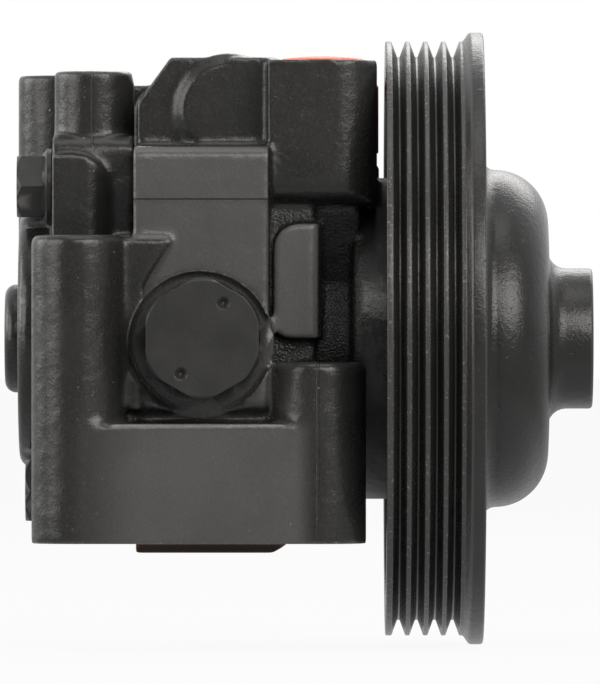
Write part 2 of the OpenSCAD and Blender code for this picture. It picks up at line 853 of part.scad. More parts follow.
module rotor_clip() {
  color(dark_steel) along_x(x_joint - cam_w + side_gap + 0.3, x_joint - cam_w + side_gap + 1.5) {
    difference() {
      circle(spline_d / 2 + 0.9);
      circle(spline_root_d / 2 - 0.5 + fit);
      translate([0, -1.5]) square([20, 3]);
    }
  }
}

// Shaft, its bearing and its seal
module drive_shaft() {
  color(steel) difference() {
    union() {
      rod_x(tail_end + 0.6, x_joint - cam_w + 0.2, tail_d / 2);
      rod_x(tail_end, tail_end + 1, tail_d / 2 - 0.6);
      difference() {
        along_x(x_joint - cam_w, x_joint + 1.4) spline_outline(0);
        turn_x() {
          translate([spline_root_d / 2 - 0.5, x_joint - cam_w + side_gap + 0.25]) square([3, 1.3]);
        }
      }
      rod_x(x_joint + 1, bearing_back - 0.2, seal_land_d / 2);
      rod_x(bearing_back - 0.5, bearing_front + 0.5, shaft_d / 2);
      rod_x(bearing_front, bearing_front + 2.6, collar_d / 2);
      rod_x(bearing_front + 2, shaft_end - 0.8, shaft_d / 2);
      rod_x(shaft_end - 1, shaft_end, shaft_d / 2 - 0.8);
    }
    rod_x(shaft_end - 18, shaft_end + 1, 4.25);
    rod_x(shaft_end - 1.2, shaft_end + 1, 5.2);
  }
}

module bearing_outer_ring() {
  color(steel) turn_x() difference() {
    translate([land_out, bearing_back]) square([bearing_od / 2 - land_out, bearing_w - fit]);
    translate([race_r, bearing_mid]) circle(race_w);
    translate([land_out - 1, bearing_back + 0.6]) square([1.6, 1]);
    translate([land_out - 1, bearing_front - 1.6]) square([1.6, 1]);
  }
}

module bearing_inner_ring() {
  color(steel) turn_x() difference() {
    translate([shaft_d / 2 + fit, bearing_back]) square([land_in - shaft_d / 2 - fit, bearing_w - fit]);
    translate([race_r, bearing_mid]) circle(race_w);
  }
}

module bearing_balls() {
  color(steel) for (i = [0:ball_count - 1]) {
    rotate([i * 360 / ball_count, 0, 0]) translate([bearing_mid, race_r, 0]) sphere(d = ball_d);
  }
}

module bearing_cage() {
  color(bronze) difference() {
    turn_x() translate([race_r - 0.7, bearing_mid - 4]) square([1.4, 8]);
    for (i = [0:ball_count - 1]) {
      rotate([i * 360 / ball_count, 0, 0]) translate([bearing_mid, 0, 0]) {
        rod_y(race_r - 3, race_r + 3, ball_d / 2 + 0.15);
      }
    }
  }
}

module bearing_shields() {
  color(rubber) turn_x() {
    translate([land_in + 0.3, bearing_back + 0.62]) square([land_out - land_in + 0.26, 0.96]);
    translate([land_in + 0.3, bearing_front - 1.58]) square([land_out - land_in + 0.26, 0.96]);
  }
}

module bearing_clip() {
  color(dark_steel) along_x(bearing_front + 0.05, bearing_front + 0.05 + clip_t) difference() {
    union() {
      difference() {
        circle(bearing_od / 2 + 1);
        circle(bearing_od / 2 - 1.6);
      }
      for (s = [-1, 1]) {
        rotate(s * 13) translate([0, bearing_od / 2 - 1.6]) circle(2);
      }
    }
    for (s = [-1, 1]) {
      rotate(s * 13) translate([0, bearing_od / 2 - 1.8]) circle(0.9);
    }
    polygon([[0, 0], [-4.2, 30], [4.2, 30]]);
  }
}

module shaft_seal() {
  color(rubber) turn_x() difference() {
    translate([seal_land_d / 2 + run_gap, seal_back]) {
      square([(seal_od - seal_land_d) / 2 - run_gap, seal_w - fit]);
    }
    polygon([
      [seal_od / 2 - 2, seal_back - 1],
      [seal_od / 2 - 2, seal_back + seal_w - 2],
      [seal_land_d / 2 + 3.4, seal_back + seal_w - 2],
      [seal_land_d / 2 + 1.4, seal_back + 3.6],
      [seal_land_d / 2 + 2.2, seal_back - 1]
    ]);
    polygon([
      [seal_land_d / 2 - 1, seal_back + 2.6],
      [seal_land_d / 2 + run_gap, seal_back + 2.6],
      [seal_land_d / 2 + 1.4, seal_back + seal_w],
      [seal_land_d / 2 - 1, seal_back + seal_w]
    ]);
    translate([seal_land_d / 2 + 2.2, seal_back + 1.8]) circle(0.85);
  }
}

module seal_spring() {
  color(steel) turn_x() translate([seal_land_d / 2 + 2.2, seal_back + 1.8]) circle(0.8);
}

// Pulley: a ribbed rim, a web and a dome with the pressed hub
function groove(i) =
  let (c = (i - (groove_count - 1) / 2) * groove_pitch,
       half = groove_floor / 2 + groove_depth * tan(20))
  [[rib_r, c - half], [rib_r - groove_depth, c - groove_floor / 2],
   [rib_r - groove_depth, c + groove_floor / 2], [rib_r, c + half]];

module pulley_section() {
  dome_mid = dome_face - dome_round;
  round_in = dome_round - web_t;
  polygon(concat(
    [[rim_in_r, rim_back], [rib_r - 0.3, rim_back], [rib_r, rim_back + 0.3]],
    [for (i = [0:groove_count - 1]) for (p = groove(i)) p],
    [[rib_r, rim_half + 0.3], [flange_r, rim_half + 1.5], [flange_r, flange_face - 0.4]],
    [[flange_r - 0.4, flange_face]],
    arc(dome_r + 2.4, flange_face + 2.4, 2.4, -90, -180, 6),
    arc(dome_r - dome_round, dome_mid, dome_round, 0, 90),
    arc(hub_r + 3.4, dome_face + 3.9, 3.4, -90, -180, 6),
    [[hub_r, hub_face - 0.4], [hub_r - 0.4, hub_face], [shaft_d / 2 + fit, hub_face]],
    [[shaft_d / 2 + fit, web_in], [hub_r - 1.4, web_in], [hub_r - 1.4, dome_face - web_t]],
    arc(dome_r - dome_round, dome_mid, round_in, 90, 0),
    [[dome_r - web_t, web_in + 2], [dome_r - web_t + 2, web_in]],
    [[rim_in_r - 2, web_in], [rim_in_r, web_in - 2]]
  ));
}

module pulley() {
  color(paint) turn_x() pulley_section();
}

// Flow valve: plug, spool and spring across the valve block
module valve_plug() {
  color(paint) translate([x_valve, 0, 0]) difference() {
    union() {
      translate([0, -valve_seat, 0]) rotate([90, 0, 0]) intersection() {
        rotate(30) cylinder(h = plug_head, r = plug_corner_r, $fn = 6);
        union() {
          cylinder(h = plug_head - 0.8, r = plug_corner_r * 0.935);
          translate([0, 0, plug_head - 0.8]) {
            cylinder(h = 0.8, r1 = plug_corner_r * 0.935, r2 = plug_corner_r * 0.935 - 0.6);
          }
        }
      }
      rod_y(-valve_seat - 0.5, -plug_inner, plug_thread_r);
    }
    rod_y(-spring_end, -plug_inner + 1, spool_r - 1.4);
    turn_y() translate([plug_thread_r - 0.6, -valve_seat]) square([3, 2.2]);
    for (a = [-59, 121]) {
      rotate([0, a, 0]) translate([8, -valve_seat - plug_head - 0.1, 0]) rotate([-90, 0, 0]) {
        cylinder(h = 1.2, r1 = 1.4, r2 = 0.3);
      }
    }
  }
}

module plug_seal() {
  color(rubber) translate([x_valve, 0, 0]) turn_y() {
    translate([plug_thread_r + 0.62, -valve_seat + 1.1]) circle(1.08);
  }
}

module valve_spool() {
  color(steel) translate([x_valve, 0, 0]) difference() {
    rod_y(-spool_end, -spool_start - 0.1, spool_r);
    rod_y(-spool_end - 1, -spring_start, spool_r - 1.7);
    turn_y() {
      translate([spool_r - 1.2, -spool_start - 7]) square([4, 3]);
      translate([spool_r - 0.5, -spool_start - 9]) square([4, 0.8]);
      translate([spool_r - 0.8, -spool_start - 2]) polygon([[0.2, 3], [2, 3], [2, 0.5]]);
    }
    rod_y(-spring_start - 1, 0, 1);
  }
}

// A round wire wound about the Y axis
module coil(y0, y1, mean_r, wire_r, turns) {
  steps = turns * 18;
  sides = 8;
  pitch = (y1 - y0 - 2 * wire_r) / turns;
  points = [for (i = [0:steps]) for (j = [0:sides - 1])
    let (a = i * 360 / 18, b = j * 360 / sides, r = mean_r + wire_r * cos(b))
    [r * cos(a), y0 + wire_r + pitch * i / 18 + wire_r * sin(b), r * sin(a)]];
  ring = [for (j = [0:sides - 1]) j];
  sheets = [for (i = [0:steps - 1]) for (j = [0:sides - 1])
    [i * sides + j, i * sides + (j + 1) % sides, (i + 1) * sides + (j + 1) % sides, (i + 1) * sides + j]];
  ends = [[for (j = ring) sides - 1 - j], [for (j = ring) steps * sides + j]];
  polyhedron(points, concat(sheets, ends));
}

module valve_spring() {
  color(steel) translate([x_valve, 0, 0]) {
    coil(-spring_end + 0.05, -spring_start - 0.05, spring_r, spring_wire / 2, spring_turns);
  }
}

// Ports and what closes them for shipping
module outlet_seat() {
  color(bronze) translate([x_port, outlet_y, outlet_floor - 5]) difference() {
    union() {
      cylinder(h = 5, r = 3.5 - fit);
      translate([0, 0, 5]) cylinder(h = 2.6, r1 = 5, r2 = 2.4);
    }
    translate([0, 0, -1]) cylinder(h = 12, r = 1.6);
  }
}

module outlet_plug() {
  color(orange) translate([x_port, outlet_y, tower_top]) difference() {
    union() {
      intersection() {
        cylinder(h = outlet_plug_rise + 1, r = outlet_plug_d / 2);
        translate([0, 0, outlet_plug_rise - outlet_crown]) sphere(outlet_crown, $fn = 120);
        translate([0, 0, fit]) cylinder(h = outlet_skirt, r = outlet_plug_d);
      }
      translate([0, 0, -outlet_skirt]) {
        cylinder(h = outlet_skirt + 0.2, r1 = outlet_r - 0.6, r2 = outlet_r - 0.1);
      }
    }
    translate([0, 0, -outlet_skirt - 1]) cylinder(h = outlet_skirt + 0.4, r = outlet_r - 2);
  }
}

module inlet_tube() {
  color(steel) translate([x_inlet, inlet_reach, 0]) difference() {
    union() {
      rod_z(inlet_floor + 0.1, inlet_cap_top - 2, inlet_r);
      rod_z(inlet_boss_top, inlet_boss_top + 1.6, inlet_r + 1.8);
      translate([0, 0, inlet_cap_top - 6]) cylinder(h = 2, r1 = inlet_r, r2 = inlet_r + 0.8);
      translate([0, 0, inlet_cap_top - 4]) cylinder(h = 1.2, r1 = inlet_r + 0.8, r2 = inlet_r);
    }
    rod_z(inlet_floor - 1, inlet_cap_top, inlet_r - 1.5);
  }
}

module inlet_cap() {
  color(orange) translate([x_inlet, inlet_reach, 0]) difference() {
    soft_boss(inlet_boss_top + 2, inlet_cap_top, inlet_cap_d / 2, 1);
    rod_z(inlet_boss_top, inlet_cap_top - 1.6, inlet_r + 0.85);
  }
}

main_body();
rear_cover();
rear_cap();
cover_bolts();
cover_seal();
cam_ring();
pressure_plate();
plate_seals();
dowel_pins();
rear_bush();
rotor();
vanes();
rotor_clip();
drive_shaft();
bearing_outer_ring();
bearing_inner_ring();
bearing_balls();
bearing_cage();
bearing_shields();
bearing_clip();
shaft_seal();
seal_spring();
pulley();
valve_plug();
plug_seal();
valve_spool();
valve_spring();
outlet_seat();
outlet_plug();
inlet_tube();
inlet_cap();
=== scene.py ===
import json
import math
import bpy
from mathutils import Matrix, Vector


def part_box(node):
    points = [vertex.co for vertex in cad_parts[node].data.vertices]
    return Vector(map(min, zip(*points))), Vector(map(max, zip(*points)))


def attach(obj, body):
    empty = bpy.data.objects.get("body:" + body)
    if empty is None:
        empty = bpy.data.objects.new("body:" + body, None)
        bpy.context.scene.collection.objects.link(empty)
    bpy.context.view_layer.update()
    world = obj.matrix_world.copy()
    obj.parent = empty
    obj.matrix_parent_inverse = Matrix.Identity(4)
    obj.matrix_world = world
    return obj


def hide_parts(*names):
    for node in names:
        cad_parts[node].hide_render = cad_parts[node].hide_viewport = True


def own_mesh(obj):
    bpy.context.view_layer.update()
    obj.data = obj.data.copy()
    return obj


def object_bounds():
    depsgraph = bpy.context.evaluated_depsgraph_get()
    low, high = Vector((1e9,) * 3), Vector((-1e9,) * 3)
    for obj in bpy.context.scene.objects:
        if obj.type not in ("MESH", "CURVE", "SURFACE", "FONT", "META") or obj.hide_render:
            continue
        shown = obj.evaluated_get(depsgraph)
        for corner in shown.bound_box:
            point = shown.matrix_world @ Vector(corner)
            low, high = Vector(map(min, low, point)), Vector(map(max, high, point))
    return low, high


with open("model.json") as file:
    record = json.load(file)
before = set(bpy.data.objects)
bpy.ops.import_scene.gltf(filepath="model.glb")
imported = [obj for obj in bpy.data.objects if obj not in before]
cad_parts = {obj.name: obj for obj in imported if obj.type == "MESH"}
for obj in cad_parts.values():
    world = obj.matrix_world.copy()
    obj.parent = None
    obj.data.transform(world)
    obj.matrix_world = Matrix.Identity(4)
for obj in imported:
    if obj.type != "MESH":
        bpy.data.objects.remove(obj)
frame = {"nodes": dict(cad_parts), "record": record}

from types import SimpleNamespace

import bmesh
import bpy
from mathutils import Matrix, Vector

cad_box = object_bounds()
MM = 0.001

# Stations of the housing, in millimetres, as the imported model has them
VALVE_X = -43.8
PORT_X = -20.35
INLET_X = -19.6
FRONT_BOLT_X = -21.0
REAR_BOLT_X = -68.1
JOINT_X = -57.3
MILLED_Y = -39.4
PAD_Y = -32.4
UNDERSIDE_Z = -42.2
SEAT_X = VALVE_X - 0.45
SEAT_Z = -1.0
SEAT_RADIUS = 14.0

# Radii of the pulley and its stations along the shaft, in millimetres
GROOVE_PITCH = 3.56
GROOVE_FLOOR = 55.75
RIB_TIP = 58.85
FLANGE_RADIUS = 60.6
FLANGE_BACK = 8.62
FLANGE_FRONT = 11.4
HUB_RADIUS = 13.9
HUB_END = 33.1

# The photograph's camera, the point the lights aim at and the table's end, in metres
CAMERA_DISTANCE = 2.4
PHOTO_WIDTH = 0.11893
PHOTO_X = -0.0248
PHOTO_Z = -0.0007
LIGHT_AIM = Vector((-0.025, 0, 0))
TABLE_END = 0.10


class Wire:
    """An output socket of a finish. Sums on it add Math nodes."""

    def __init__(self, finish, socket):
        self.finish = finish
        self.socket = socket

    def sum(self, operation, first, second):
        return self.finish.node("Math", {"operation": operation}, {0: first, 1: second})

    def __add__(self, other):
        return self.sum("ADD", self, other)

    def __radd__(self, other):
        return self.sum("ADD", other, self)

    def __sub__(self, other):
        return self.sum("SUBTRACT", self, other)

    def __rsub__(self, other):
        return self.sum("SUBTRACT", other, self)

    def __mul__(self, other):
        return self.sum("MULTIPLY", self, other)

    def __rmul__(self, other):
        return self.sum("MULTIPLY", other, self)

    def __pow__(self, other):
        return self.sum("POWER", self, other)


class Finish:
    """A material or a world: its one main shader and the nodes that feed it."""

    def __init__(self, owner, shader, constants):
        owner.use_nodes = True
        self.owner = owner
        self.tree = owner.node_tree
        self.shader = self.tree.nodes[shader]
        self.set(constants)
        self.place = self.node("TexCoord", {}, {}, "Object")

    def node(self, kind, settings, sockets, out=0):
        made = self.tree.nodes.new("ShaderNode" + kind)
        for name, value in settings.items():
            setattr(made, name, value)
        for name, value in sockets.items():
            self.join(made.inputs[name], value)
        return Wire(self, made.outputs[out])

    def join(self, socket, value):
        if isinstance(value, Wire):
            self.tree.links.new(value.socket, socket)
        else:
            socket.default_value = value

    def set(self, sockets):
        for name, value in sockets.items():
            self.join(self.shader.inputs[name], value)

    def noise(self, size, detail=3.0, rough=0.55, stretch=(1, 1, 1)):
        """Noise whose lumps are about size millimetres across."""
        place = self.node("Mapping", {}, {"Vector": self.place, "Scale": stretch})
        return self.node("TexNoise", {}, {
            "Vector": place, "Scale": 1000 / size, "Detail": detail, "Roughness": rough})

    def step(self, value, low, high):
        """Rises smoothly from 0 at low to 1 at high, which may be the smaller of the two."""
        return self.node("MapRange", {"interpolation_type": "SMOOTHSTEP"}, {
            "Value": value, "From Min": low, "From Max": high})

    def band(self, value, first, second):
        """1 between two soft limits, each a pair that runs from outside to inside."""
        return self.step(value, *first) * self.step(value, *second)

    def line(self, value, place, outer, inner):
        """1 on a thin line across an axis, by the squared distance from its place."""
        off = value - place
        return self.step(off * off, outer, inner)

    def mix(self, share, first, second):
        """A colour between two others."""
        return self.node("Mix", {"data_type": "RGBA"}, {0: share, 6: first, 7: second}, 2)

    def axis(self, letter):
        """One object coordinate in millimetres."""
        return self.node("SeparateXYZ", {}, {0: self.place}, letter) * 1000

    def radius(self):
        """The distance from the shaft in millimetres."""
        across = self.node("VectorMath", {"operation": "MULTIPLY"}, {0: self.place, 1: (0, 1, 1)})
        return self.node("VectorMath", {"operation": "LENGTH"}, {0: across}, "Value") * 1000

    def corners(self):
        """Over 0.5 on outward corners of the mesh, and under it in inside corners."""
        return self.node("NewGeometry", {}, {}, "Pointiness")

    def bump(self, height):
        """A normal from a height in millimetres."""
        return self.node("Bump", {}, {"Height": height, "Distance": MM})

    def ray(self, kind):
        """1 for rays of one kind."""
        return self.node("LightPath", {}, {}, "Is %s Ray" % kind)


def grey(value, warm=0.0):
    return (value * (1 + warm), value, value * (1 - warm), 1)


def surface(name, **constants):
    """A new material with its fixed values set on its Principled shader."""
    values = {key.replace("_", " "): value for key, value in constants.items()}
    return Finish(bpy.data.materials.new(name), "Principled BSDF", values)


def casting_zones(paint):
    """Masks for parts of the casting: machined faces, the scribed line, seams, rough recesses and the bare
    underside, and the places where light and shade are painted in: painted light on the passage pad, painted
    highlights on a boss flank, the seat's upper rim and the ledge edge, and painted shade on the shaft neck.
    """
    x, y, z = paint.axis("X"), paint.axis("Y"), paint.axis("Z")
    on_block = paint.step(x, JOINT_X - 0.3, JOINT_X + 0.1)
    on_block = on_block * paint.step(y, MILLED_Y + 1.8, MILLED_Y + 0.6)
    block = on_block * paint.step(y, MILLED_Y - 1.1, MILLED_Y - 0.7)
    block = block * paint.step(z, -14, -11) * paint.step(x, -28, -30)
    scribe = on_block * paint.step(y, MILLED_Y - 1.2, MILLED_Y - 0.9)
    scribe = scribe * paint.line(z, 27.1, 0.05, 0.012)
    foot = paint.step(z, -14.5, -18.5) * paint.band(x, (-72, -54), (-21.5, -26.0))
    foot = foot * paint.step(y, MILLED_Y - 1.2, MILLED_Y - 2.6)
    # Mask of the passage pad, whose paint is made lighter as painted light, standing in for the light it
    # catches.
    pad = paint.band(y, (PAD_Y - 1.1, PAD_Y - 0.6), (PAD_Y + 1.0, PAD_Y + 0.4))
    pad = pad * paint.band(x, (-34, -32), (-19, -20.4)) * paint.step(z, 25, 23)
    recess = paint.band(x, (-31.6, -30.8), (-12, -14)) * paint.band(z, (-8, -6), (26, 24))
    recess = recess * paint.band(y, (-38, -36.5), (-12, -16)) * (1 - pad)
    off = ((x - SEAT_X) ** 2 + (z - SEAT_Z) ** 2) ** 0.5
    seat = paint.step(off, SEAT_RADIUS + 0.6, SEAT_RADIUS + 0.3)
    seat = seat * paint.band(y, (MILLED_Y + 0.2, MILLED_Y + 0.7), (-33, -36))
    # Painted highlight: a lighter arc on the upper part of the seat's edge round the valve plug, added to
    # the corner colour below.
    rim = paint.band(off, (SEAT_RADIUS - 0.2, SEAT_RADIUS), (SEAT_RADIUS + 0.5, SEAT_RADIUS + 0.3))
    rim = rim * paint.step(y, MILLED_Y + 0.6, MILLED_Y + 0.2) * paint.step(z, -4, 2)
    # Upper left flank of the front bolt boss above the ledge, which gets a painted highlight: lighter paint
    # where a lamp's highlight would fall.
    painted_flank_highlight = paint.band(x, (-31, -30), (-25, -27.5)) * paint.step(y, -37, -39) * paint.step(z, -16, -13)
    near_seam = paint.line(x, -65.6, 0.08, 0.01) * paint.step(z, 37, 39) * paint.step(y, -17.5, -18.5)
    front_seam = paint.line(x, -21.3, 0.12, 0.01) * paint.step(y, -45.5, -46.5)
    # Top edge of the ledge above the foot, which gets a painted glint: much lighter paint along it.
    ledge = paint.band(z, (-20, -18), (-12, -14)) * paint.step(y, -42, -44) * paint.step(x, -26, -30)
    return SimpleNamespace(
        # Machined faces are lighter, partly by their finish and partly as painted light; the pad and the
        # boss flank added here are painted light only.
        machined_and_painted_light=(foot + block) * (1 - seat) + seat * 0.5 + pad + painted_flank_highlight * 0.7,
        pad=pad, recess=recess, seat=seat, rim=rim, ledge=ledge, scribe=scribe,
        seam=near_seam + front_seam,
        # The shaft neck beside the pad, which gets painted shade: its paint is made darker.
        neck=paint.step(x, -13.5, -11.5) * paint.step(y, -31, -28),
        bare=paint.step(z, UNDERSIDE_Z + 2.1, UNDERSIDE_Z + 1.7))


def casting_paint():
    """Black paint on sand-cast iron, greyer on machined faces partly by their finish and partly as painted
    light, with painted highlights and painted shade in places, and bare iron on the underside pad.
    """
    paint = surface("black_casting_paint", Specular_IOR_Level=0.38)
    zone = casting_zones(paint)
    cloud = paint.noise(14, 4)
    wave = paint.noise(6, 2)
    sand = paint.noise(1.1, 4, 0.6)
    grit = paint.noise(0.45, 2, 0.5)
    chips = paint.noise(0.9, 4, 0.7)
    corners = paint.corners()
    # Outward corners, lighter in the paint below: partly paint rubbed thin, partly painted highlight; the
    # seat rim adds a painted highlight.
    edge = paint.step(corners, 0.515, 0.56) * (1 - zone.seat) + zone.rim
    nook = paint.step(corners, 0.485, 0.45)
    flake = paint.step(chips + edge * 0.10, 0.69, 0.72)
    # Colour for the corners: rubbed paint, and on the ledge edge a lighter painted glint.
    wear_and_painted_glint = paint.mix(zone.ledge, grey(0.12, 0.02), grey(0.30, 0.02))
    rust = paint.mix(paint.step(cloud, 0.35, 0.65), (0.010, 0.004, 0.002, 1), (0.024, 0.010, 0.004, 1))
    # Lighter base on machined faces: partly a greyer finish, partly painted light, with painted light on the
    # passage pad and the boss flank.
    body = paint.mix(zone.machined_and_painted_light, grey(0.013, 0.03), grey(0.062, 0.02))
    body = paint.mix(paint.step(cloud, 0.3, 0.75) * 0.35, body, grey(0.022, 0.03))
    # Light grit specks, more of them in inside corners: partly sand in the fillets, partly painted light on
    # them.
    body = paint.mix(paint.step(grit, 0.55, 0.75) * (0.12 + nook * 0.2), body, grey(0.11, 0.02))
    # Corners lighter, partly rubbed paint and partly painted highlight; the ledge edge gets a stronger
    # painted glint.
    body = paint.mix(edge * (0.5 + zone.ledge * 0.4), body, wear_and_painted_glint)
    body = paint.mix(flake * 0.7, body, grey(0.26, 0.03))
    # Painted shade on the shaft neck: its paint is made darker.
    body = paint.mix(zone.neck * 0.6, body, grey(0.007))
    # Painted light: the passage pad's paint is made lighter, as if lit.
    body = paint.mix(zone.pad * 0.6, body, grey(0.11, 0.02))
    body = paint.mix(zone.scribe * 0.7, body, grey(0.004))
    grain = sand * 0.06 + grit * 0.035 + (nook * 0.35 + zone.recess * 0.30) * grit
    marks = zone.seam * 0.12 - zone.scribe * 0.15 - flake * 0.04
    paint.set({
        "Base Color": paint.mix(zone.bare, body, rust),
        "Roughness": 0.19 + cloud * 0.10 + grit * 0.08 + zone.bare * 0.5 + zone.neck * 0.2,
        "Normal": paint.bump(wave * 0.30 + grain + marks),
    })
    return paint.owner


def pulley_paint():
    """Satin black paint on a pressed and turned steel pulley, lighter on the tips of the ribs, the flange
    lips and the hub's end, partly as rubbed paint and partly as painted highlight.
    """
    paint = surface("satin_pulley_paint", Specular_IOR_Level=0.37)
    cloud = paint.noise(18, 4)
    peel = paint.noise(1.9, 3, 0.6)
    fine = paint.noise(0.7, 3, 0.6)
    grit = paint.noise(0.35, 2)
    turned = paint.noise(0.25, 2, 0.5, (1, 0.02, 0.02))
    pits = paint.step(paint.noise(1.3, 2), 0.66, 0.72)
    x, radius = paint.axis("X"), paint.radius()
    tips = paint.step(radius, RIB_TIP - 0.55, RIB_TIP - 0.1) * paint.step(x, 7.6, 7.2)
    lips = paint.step(x, FLANGE_BACK + 0.48, FLANGE_BACK + 0.08)
    lips = lips + paint.step(x, FLANGE_FRONT - 0.5, FLANGE_FRONT - 0.2)
    rims = lips * paint.step(radius, FLANGE_RADIUS - 0.35, FLANGE_RADIUS - 0.1)
    hub = paint.step(x, HUB_END - 0.7, HUB_END - 0.3)
    hub = hub * paint.step(radius, HUB_RADIUS - 0.7, HUB_RADIUS - 0.3)
    specks = paint.step(fine, 0.60, 0.66) * tips
    body = paint.mix(paint.step(cloud, 0.3, 0.7), grey(0.011, 0.03), grey(0.016, 0.03))
    # Rib tips, flange lips and hub end lighter: partly rubbed paint, partly painted highlight.
    body = paint.mix((tips + rims + hub) * 0.3, body, grey(0.09, 0.02))
    body = paint.mix(specks * 0.45, body, grey(0.20, 0.03))
    paint.set({
        "Base Color": body,
        "Roughness": 0.18 + cloud * 0.09 + grit * 0.07,
        "Normal": paint.bump(peel * 0.10 + fine * 0.05 + grit * 0.03 + turned * 0.01 - pits * 0.05),
    })
    return paint.owner


def fastener_paint():
    """Black paint on the valve plug and the bolts, lighter on their corners, partly as thinner paint and
    partly as painted highlight.
    """
    paint = surface("black_fastener_paint", Specular_IOR_Level=0.36)
    cloud = paint.noise(7, 4)
    peel = paint.noise(0.8, 3)
    grit = paint.noise(0.3, 2)
    # Corners lighter: partly thinner paint, partly painted highlight.
    edge = paint.step(paint.corners(), 0.54, 0.61)
    body = paint.mix(paint.step(cloud, 0.3, 0.7), grey(0.015, 0.02), grey(0.022, 0.02))
    paint.set({
        "Base Color": paint.mix(edge * 0.6, body, grey(0.14, 0.02)),
        "Roughness": 0.26 + cloud * 0.08 + grit * 0.08,
        "Normal": paint.bump(peel * 0.03 + grit * 0.035),
    })
    return paint.owner


def turned_steel(name, tone, rough, stretch):
    """Machined steel with fine tool marks and a little dulling."""
    steel = surface(name)
    cloud = steel.noise(6, 4)
    lines = steel.noise(0.22, 3, 0.6, stretch)
    edge = steel.step(steel.corners(), 0.52, 0.60)
    body = steel.mix(steel.step(cloud, 0.3, 0.75), grey(tone, -0.01), grey(tone * 0.72, 0.02))
    steel.set({
        "Base Color": steel.mix(edge * 0.4, body, grey(tone * 1.3)),
        "Metallic": 1.0,
        "Roughness": rough + cloud * 0.10 + lines * 0.12,
        "Normal": steel.bump(lines * 0.012),
    })
    return steel.owner


def bearing_bronze():
    """Warm bearing bronze with darker oiled patches."""
    bronze = surface("oiled_bronze")
    cloud = bronze.noise(4, 4)
    pores = bronze.noise(0.25, 2)
    edge = bronze.step(bronze.corners(), 0.52, 0.60)
    body = bronze.mix(bronze.step(cloud, 0.3, 0.7), (0.55, 0.36, 0.15, 1), (0.34, 0.21, 0.09, 1))
    bronze.set({
        "Base Color": bronze.mix(edge * 0.4, body, (0.75, 0.55, 0.28, 1)),
        "Metallic": 1.0,
        "Roughness": 0.28 + cloud * 0.14 + pores * 0.08,
        "Normal": bronze.bump(pores * 0.02),
    })
    return bronze.owner


def seal_rubber():
    """Matt black rubber with a faint bloom."""
    rubber = surface("seal_rubber_black", Specular_IOR_Level=0.3)
    bloom = rubber.noise(2.5, 4)
    fine = rubber.noise(0.2, 2)
    rubber.set({
        "Base Color": rubber.mix(rubber.step(bloom, 0.4, 0.8), grey(0.011), grey(0.024)),
        "Roughness": 0.55 + bloom * 0.2,
        "Normal": rubber.bump(fine * 0.02),
    })
    return rubber.owner


def orange_plastic():
    """Soft orange polyethylene of the shipping plugs, scuffed on its rims."""
    plastic = surface("orange_shipping_plastic", Subsurface_Weight=0.08,
                      Subsurface_Radius=(0.004, 0.002, 0.001))
    cloud = plastic.noise(5, 3)
    fine = plastic.noise(0.5, 3)
    edge = plastic.step(plastic.corners(), 0.52, 0.60)
    body = plastic.mix(plastic.step(cloud, 0.3, 0.7), (0.64, 0.058, 0.014, 1), (0.76, 0.09, 0.028, 1))
    plastic.set({
        "Base Color": plastic.mix(edge * 0.5, body, (0.80, 0.25, 0.13, 1)),
        "Roughness": 0.34 + cloud * 0.12 + fine * 0.08,
        "Normal": plastic.bump(fine * 0.04),
    })
    return plastic.owner


def dress(mesh, finish):
    """Gives a mesh one material in place of those it has."""
    mesh.materials.clear()
    mesh.materials.append(finish)


def place_mesh(name, bm, finish):
    """Turns a bmesh into an object of the scene."""
    mesh = bpy.data.meshes.new(name)
    bm.to_mesh(mesh)
    bm.free()
    dress(mesh, finish)
    made = bpy.data.objects.new(name, mesh)
    bpy.context.scene.collection.objects.link(made)
    return made


def piece(name, bm, body, node, finish, smooth_angle=40.0):
    """Turns a bmesh into a piece that stands for a node and rides on its body."""
    made = place_mesh(name, bm, finish)
    made.data.shade_smooth()
    made.data.set_sharp_from_angle(angle=math.radians(smooth_angle))
    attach(made, body)
    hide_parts(node)
    return made


def skin(node):
    """A node's loose triangles, merged into one closed skin."""
    bm = bmesh.new()
    bm.from_mesh(frame["nodes"][node].data)
    bmesh.ops.remove_doubles(bm, verts=bm.verts, dist=1e-6)
    return bm


def through(bm, kind, **settings):
    """Runs a bmesh through one modifier, and returns the result."""
    mesh = bpy.data.meshes.new("work")
    bm.to_mesh(mesh)
    bm.free()
    work = bpy.data.objects.new("work", mesh)
    bpy.context.scene.collection.objects.link(work)
    modifier = work.modifiers.new(kind, kind)
    for name, value in settings.items():
        setattr(modifier, name, value)
    bpy.context.view_layer.update()
    changed = work.evaluated_get(bpy.context.evaluated_depsgraph_get())
    result = bmesh.new()
    result.from_mesh(bpy.data.meshes.new_from_object(changed))
    bpy.data.objects.remove(work)
    return result


# Machined bores and seats, which stay sharp: a point on the axis, the axis and a radius in millimetres
BODY_BORES = [
    ((0, 0, 0), "X", 22.6),
    ((VALVE_X, 0, 0), "Y", 14.6),
    ((FRONT_BOLT_X, -38, 0), "Z", 4.6),
    ((REAR_BOLT_X, -38, 0), "Z", 4.6),
    ((FRONT_BOLT_X, 32, 0), "Z", 4.6),
    ((PORT_X, -21, 0), "Z", 7.3),
    ((INLET_X, 22, 0), "Z", 8.4),
]
COVER_BORES = [
    ((0, 0, 0), "X", 22.4),
]


def in_bores(place, bores):
    for point, axis, radius in bores:
        off = place / MM - Vector(point)
        off["XYZ".index(axis)] = 0.0
        if off.length < radius:
            return True
    return False


